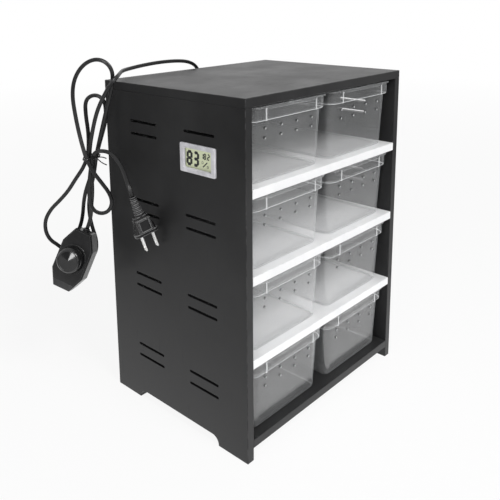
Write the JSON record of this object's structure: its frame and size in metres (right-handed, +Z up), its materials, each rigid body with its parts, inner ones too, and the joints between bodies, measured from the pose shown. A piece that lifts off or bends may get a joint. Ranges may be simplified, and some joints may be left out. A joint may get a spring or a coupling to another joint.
{
  "type": "reptile breeding tub rack",
  "caption": "Upright black board rack with white shelves, pull-out clear tubs, a thermometer-hygrometer and a heater lead with a dimmer.",
  "frame": {"origin": "on the floor under the middle of the cabinet", "axes": "+Z up, -Y out of the open front, +X to the right of someone who faces the front"},
  "size_m": [0.3298, 0.2662, 0.3889],
  "materials": {
    "black_board": "satin black board with a fine grain",
    "white_board": "smooth white",
    "tub": "clear, slightly frosted",
    "heating_film": "thin black film",
    "black_plastic": "satin",
    "knob": "polished",
    "cord_rubber": "satin",
    "blade_metal": "nickel plated",
    "meter_bezel": "silver grey",
    "meter_case": "moulded",
    "clear_lens": "clear",
    "display": "segment display",
    "circuit_board": "laminate",
    "steel": "plated",
    "shaft_metal": "turned"
  },
  "bodies": {
    "cabinet": {"back_panel": "black_board", "bottom_panel": "black_board", "dimmer_back_shell": "black_plastic", "dimmer_bushes": "cord_rubber", "dimmer_circuit_board": "circuit_board", "dimmer_front_shell": "black_plastic", "dimmer_potentiometer": "steel", "dimmer_screws": "steel", "film_terminal": "black_plastic", "heater_lead": "cord_rubber", "heating_film": "heating_film", "lead_gland": "cord_rubber", "left_side_panel": "black_board", "mains_lead": "cord_rubber", "meter_bezel": "meter_bezel", "meter_button_cells": "steel", "meter_case": "meter_case", "meter_circuit_board": "circuit_board", "meter_display": "display", "meter_lens": "clear_lens", "plug_blades": "blade_metal", "plug_body": "cord_rubber", "right_side_panel": "black_board", "shelf_1": "white_board", "shelf_2": "white_board", "shelf_3": "white_board", "top_panel": "black_board", "twist_tie": "black_plastic"},
    "tub_row1_left": {"tub_row1_left": "tub"},
    "tub_row1_right": {"tub_row1_right": "tub"},
    "tub_row2_left": {"tub_row2_left": "tub"},
    "tub_row2_right": {"tub_row2_right": "tub"},
    "tub_row3_left": {"tub_row3_left": "tub"},
    "tub_row3_right": {"tub_row3_right": "tub"},
    "tub_row4_left": {"tub_row4_left": "tub"},
    "tub_row4_right": {"tub_row4_right": "tub"},
    "knob": {"dimmer_knob": "knob", "dimmer_shaft": "shaft_metal"},
    "battery_door": {"meter_battery_door": "meter_case"}
  },
  "joints": [
    {"name": "slide_row1_left", "type": "slide", "parent": "cabinet", "child": "tub_row1_left", "axis": [0, -1, 0], "range_m": [0, 0.185]},
    {"name": "slide_row1_right", "type": "slide", "parent": "cabinet", "child": "tub_row1_right", "axis": [0, -1, 0], "range_m": [0, 0.185]},
    {"name": "slide_row2_left", "type": "slide", "parent": "cabinet", "child": "tub_row2_left", "axis": [0, -1, 0], "range_m": [0, 0.185]},
    {"name": "slide_row2_right", "type": "slide", "parent": "cabinet", "child": "tub_row2_right", "axis": [0, -1, 0], "range_m": [0, 0.185]},
    {"name": "slide_row3_left", "type": "slide", "parent": "cabinet", "child": "tub_row3_left", "axis": [0, -1, 0], "range_m": [0, 0.185]},
    {"name": "slide_row3_right", "type": "slide", "parent": "cabinet", "child": "tub_row3_right", "axis": [0, -1, 0], "range_m": [0, 0.185]},
    {"name": "slide_row4_left", "type": "slide", "parent": "cabinet", "child": "tub_row4_left", "axis": [0, -1, 0], "range_m": [0, 0.185]},
    {"name": "slide_row4_right", "type": "slide", "parent": "cabinet", "child": "tub_row4_right", "axis": [0, -1, 0], "range_m": [0, 0.185]},
    {"name": "knob_turn", "type": "hinge", "parent": "cabinet", "child": "knob", "pos_m": [-0.1701, 0.12582, 0.16195], "axis": [0.8018, 0.5409, -0.2539], "range_deg": [0, 280]},
    {"name": "battery_door_slide", "type": "slide", "parent": "cabinet", "child": "battery_door", "axis": [0, 1, 0], "range_m": [0, 0.009]}
  ]
}
